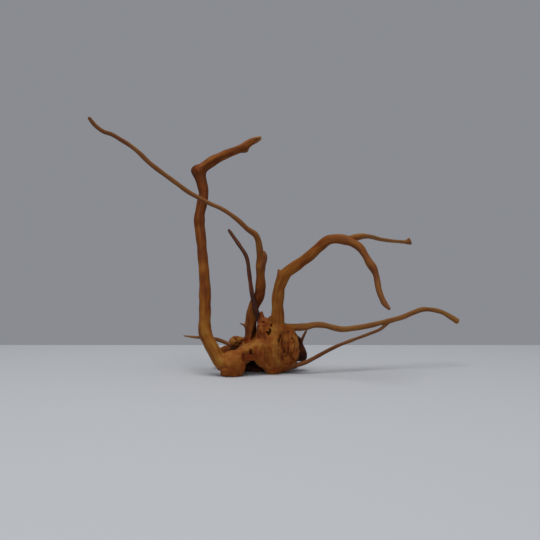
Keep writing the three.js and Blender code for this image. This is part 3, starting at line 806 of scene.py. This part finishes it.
def tones(points, normals, heights, limbs, places, shares):
    """Tone of the wood, 0 for charred heartwood to 1 for sun-bleached tan.

    Each limb fades from tone to tone along it, with streaks drawn out along the grain, broad clouds and
    patches, some of them painted shade and highlight. Painted light makes the skin paler where it faces up,
    and painted highlight with wear makes it paler where its relief stands out.
    """
    values = []
    for number, (limb, (_, _, local)) in enumerate(zip(limbs, places)):
        stops = np.linspace(0, limb.along[-1], len(TONES[limb.name]))
        strength = STREAK * (BURL_STREAK if limb.in_burl else 1.0)
        streak = strength * noise(local / STREAK_SIZE, number + SEEDS["streak"])
        fine = FINE * noise(local / FINE_SIZE, number + SEEDS["fine"])
        values.append(np.interp(local[:, 0], stops, TONES[limb.name]) + streak + fine)
    limb_tones = mixed(len(points), places, shares, values)
    cloud = CLOUD * noise(points / CLOUD_SIZE, SEEDS["cloud"])
    # Painted light: skin that faces up is made paler as if lit from above, and crests paler as painted
    # highlight and wood worn pale.
    painted_highlight_and_wear = PAINTED_TOP_LIGHT * normals[:, 2] + CREST_HIGHLIGHT_AND_WEAR * heights
    return limb_tones + cloud + painted_highlight_and_wear + spotted(points, TONE_SPOTS)


def weathering(points, limbs, places, shares):
    """How grey the skin is: not at all on the burl and on thick limbs, more as a limb gets thin and pale."""
    thick, thin = WEATHER_RADII
    values = []
    for limb, (_, _, local) in zip(limbs, places):
        radius = np.interp(local[:, 0], limb.along, limb.radii)
        stops = np.linspace(0, limb.along[-1], len(TONES[limb.name]))
        pale = np.interp(local[:, 0], stops, TONES[limb.name])
        taken = WEATHER * (CHARRED_PART + (1 - CHARRED_PART) * pale)
        grey = taken * np.clip((thick - radius) / (thick - thin), 0, 1)
        values.append(0.0 if limb.in_burl else grey)
    return mixed(len(points), places, shares, values)


def redness(points, limbs, places, shares):
    """Red heartwood that shows through: evenly on the burl's pale limbs, in clouds where noise is above zero,
    and in spots, of which one is painted shade in the gap between the broken root and the saddle."""
    even = [BURL_RED * limb.in_burl * np.mean(TONES[limb.name]) for limb in limbs]
    cloud = RED_CLOUD * np.maximum(noise(points / RED_CLOUD_SIZE, SEEDS["red"]), 0)
    return np.minimum(mixed(len(points), places, shares, even) + cloud + spotted(points, RED_SPOTS), 1)


def splinters(points, limbs, places, shares):
    """Pale torn wood at the broken ends: full at the tip, gone a little way back, in ragged streaks."""
    values = []
    for number, (limb, (_, _, local)) in enumerate(zip(limbs, places)):
        reach = SPLINTERS.get(limb.name, 0.0)
        if not reach:
            values.append(0.0)
            continue
        back = (limb.along[-1] - local[:, 0]) / reach
        ragged = SPLINTER_RAG * noise(local / SPLINTER_SIZE, number + SEEDS["splinter"])
        values.append(np.clip(SPLINTER_FULL - back + ragged, 0, 1) * (back < SPLINTER_STOP))
    return mixed(len(points), places, shares, values)


def linear(code):
    """Linear colour of an sRGB hex code such as 93552B, with full alpha."""
    shares = [int(code[i : i + 2], 16) / 255 for i in (0, 2, 4)]
    return (*(c / 12.92 if c <= 0.04045 else ((c + 0.055) / 1.055) ** 2.4 for c in shares), 1.0)


def add_node(tree, kind, inputs, **settings):
    """A new node of a kind, its settings made and its inputs joined to sockets or set to values."""
    node = tree.nodes.new(kind)
    for name, value in settings.items():
        setattr(node, name, value)
    for name, value in inputs.items():
        if isinstance(value, bpy.types.NodeSocket):
            tree.links.new(value, node.inputs[name])
        else:
            node.inputs[name].default_value = value
    return node


def new_material(name):
    """A material with its node tree and its main shader."""
    material = bpy.data.materials.new(name)
    material.use_nodes = True
    return material, material.node_tree, material.node_tree.nodes["Principled BSDF"]


def stripped_azalea_root():
    """Bark-stripped, dried azalea root with a dull waxy finish.

    To the eye it is orange brown, drawn out in fine streaks along each limb, darker and redder in its heart,
    with shade painted near black down in its crevices, and straw coloured where it is torn.
    """
    material, tree, shader = new_material("stripped azalea root, dull")
    painted = {
        name: add_node(tree, "ShaderNodeAttribute", {}, attribute_name=name).outputs
        for name in ("tone", "hollow", "grain", "weather", "red", "splinter")
    }
    grain = painted["grain"]["Vector"]
    squeezed = add_node(tree, "ShaderNodeVectorMath", {0: grain, 1: FIBRE_SQUEEZE}, operation="MULTIPLY")
    fibre = add_node(
        tree,
        "ShaderNodeTexNoise",
        {"Vector": squeezed.outputs["Vector"], "Scale": 1.0, "Detail": 3.0, "Roughness": 0.6},
    ).outputs["Fac"]
    lifting = {0: fibre, 1: FIBRE_TONE, 2: -FIBRE_TONE / 2}
    lift = add_node(tree, "ShaderNodeMath", lifting, operation="MULTIPLY_ADD").outputs["Value"]
    toned = add_node(tree, "ShaderNodeMath", {0: painted["tone"]["Fac"], 1: lift}, operation="ADD")
    ramp = add_node(tree, "ShaderNodeValToRGB", {"Fac": toned.outputs["Value"]})
    stops = ramp.color_ramp.elements
    while len(stops) < len(WOOD_TONES):
        stops.new(0.5)
    for stop, (place, code) in zip(stops, WOOD_TONES):
        stop.position = place
        stop.color = linear(code)
    # Painted shade: the more sheltered the skin, the nearer to black its colour is mixed.
    sheltered = {"Value": painted["hollow"]["Fac"], "From Min": HOLLOW_START, "From Max": HOLLOW_FULL}
    painted_shade = add_node(tree, "ShaderNodeMapRange", {**sheltered, "To Min": 0.0, "To Max": PAINTED_SHADE_SHARE})
    layers = (
        (painted["weather"]["Fac"], WEATHERED),
        (painted["red"]["Fac"], RED_WOOD),
        (painted["splinter"]["Fac"], TORN_WOOD),
        (painted_shade.outputs["Result"], CREVICE_PAINTED_SHADE),
    )
    colour = ramp.outputs["Color"]
    for share, code in layers:
        colours = {MIX_FIRST: colour, MIX_SECOND: linear(code)}
        mix = add_node(tree, "ShaderNodeMix", {"Factor": share, **colours}, data_type="RGBA")
        colour = mix.outputs[MIX_RESULT]
    bump = add_node(tree, "ShaderNodeBump", {"Height": fibre, "Strength": 0.5, "Distance": FIBRE_BUMP * MM})
    tree.links.new(colour, shader.inputs["Base Color"])
    tree.links.new(bump.outputs["Normal"], shader.inputs["Normal"])
    shader.inputs["Roughness"].default_value = 0.62
    shader.inputs["Specular IOR Level"].default_value = 0.1
    return material


def matt_board():
    """Pale grey painted board with no shine, which gives the eye a plain ground and soft shadows."""
    material, _, shader = new_material("painted board, matt")
    shader.inputs["Base Color"].default_value = linear(BOARD)
    shader.inputs["Roughness"].default_value = 0.9
    shader.inputs["Specular IOR Level"].default_value = 0.1
    return material


def new_object(name, data):
    """A new object of the scene for a mesh, a light or a camera."""
    item = bpy.data.objects.new(name, data)
    bpy.context.scene.collection.objects.link(item)
    return item


def mesh_object(name, points, faces, material):
    """A smooth-shaded mesh object from points in mm."""
    mesh = bpy.data.meshes.new(name)
    mesh.from_pydata((np.asarray(points) * MM).tolist(), [], np.asarray(faces).tolist())
    mesh.polygons.foreach_set("use_smooth", np.ones(len(mesh.polygons), bool))
    mesh.materials.append(material)
    return new_object(name, mesh)


def grown_root():
    """The whole root: limbs fused in one field, sculpted, netted, evened out, grained and coloured."""
    limbs = [
        Limb(name, rows, number * GOLDEN_ANGLE, name in BURL)
        for number, (name, rows) in enumerate({**BURL, **BRANCHES}.items())
    ]
    field = Field(limbs)
    for limb in limbs:
        grow(field, limb)
    sculpt(field)
    joined(field)
    points, quads = largest_body(*net(field))
    points = relaxed(points, quads, field, RELAX_ROUNDS)
    places = grain_places(points, limbs)
    shares = limb_shares(len(points), places)
    heights = relief(points, limbs, places, shares)
    points = points + vertex_normals(points, quads) * heights[:, None]
    points[:, 2] = np.maximum(points[:, 2], 0)
    normals = vertex_normals(points, quads)
    root = mesh_object("spiderwood", points - BOX_MIDDLE, quads, stripped_azalea_root())
    painted = {
        "tone": tones(points, normals, heights, limbs, places, shares),
        "hollow": hollowness(points, normals, field),
        "splinter": splinters(points, limbs, places, shares),
        "weather": weathering(points, limbs, places, shares),
        "red": redness(points, limbs, places, shares),
    }
    for name, values in painted.items():
        root.data.attributes.new(name, "FLOAT", "POINT").data.foreach_set("value", values.astype(np.float32))
    grain = np.zeros((len(points), 3), np.float32)
    strongest = np.zeros(len(points))
    for number, ((near, _, local), share) in enumerate(zip(places, shares)):
        owned = share > strongest[near]
        grain[near[owned]] = local[owned] + GRAIN_SHIFT * number
        strongest[near[owned]] = share[owned]
    root.data.attributes.new("grain", "FLOAT_VECTOR", "POINT").data.foreach_set("vector", grain.ravel())
    return root


def set_stage():
    """A pale board that ends behind the root, the room's grey, the lamps and the viewer's camera."""
    scene = bpy.context.scene
    left, right, front, back = BOARD_EDGES
    corners = np.array([[left, front, 0], [right, front, 0], [right, back, 0], [left, back, 0]]) - BOX_MIDDLE
    mesh_object("board", corners, [[0, 1, 2, 3]], matt_board())

    world = bpy.data.worlds.new("room")
    world.use_nodes = True
    world.node_tree.nodes["Background"].inputs["Color"].default_value = linear(ROOM)
    scene.world = world

    for name, (side, watts, place, aim) in LAMPS.items():
        lamp = bpy.data.lights.new(name, "AREA")
        lamp.size = side
        lamp.energy = watts
        hung = new_object(name, lamp)
        hung.location = place
        hung.rotation_euler = (Vector(aim) - Vector(place)).to_track_quat("-Z", "Y").to_euler()

    camera = new_object("eye", bpy.data.cameras.new("eye"))
    camera.data.sensor_width = SENSOR
    camera.data.lens = SENSOR * EYE_DISTANCE / FIELD_WIDTH
    camera.location = (np.array([0, -EYE_DISTANCE, EYE_HEIGHT]) - BOX_MIDDLE) * MM
    camera.rotation_euler = (math.pi / 2, 0, 0)
    scene.camera = camera
    scene.view_settings.view_transform = "Standard"


root = grown_root()
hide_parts("spiderwood_root")
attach(root, "root")
set_stage()
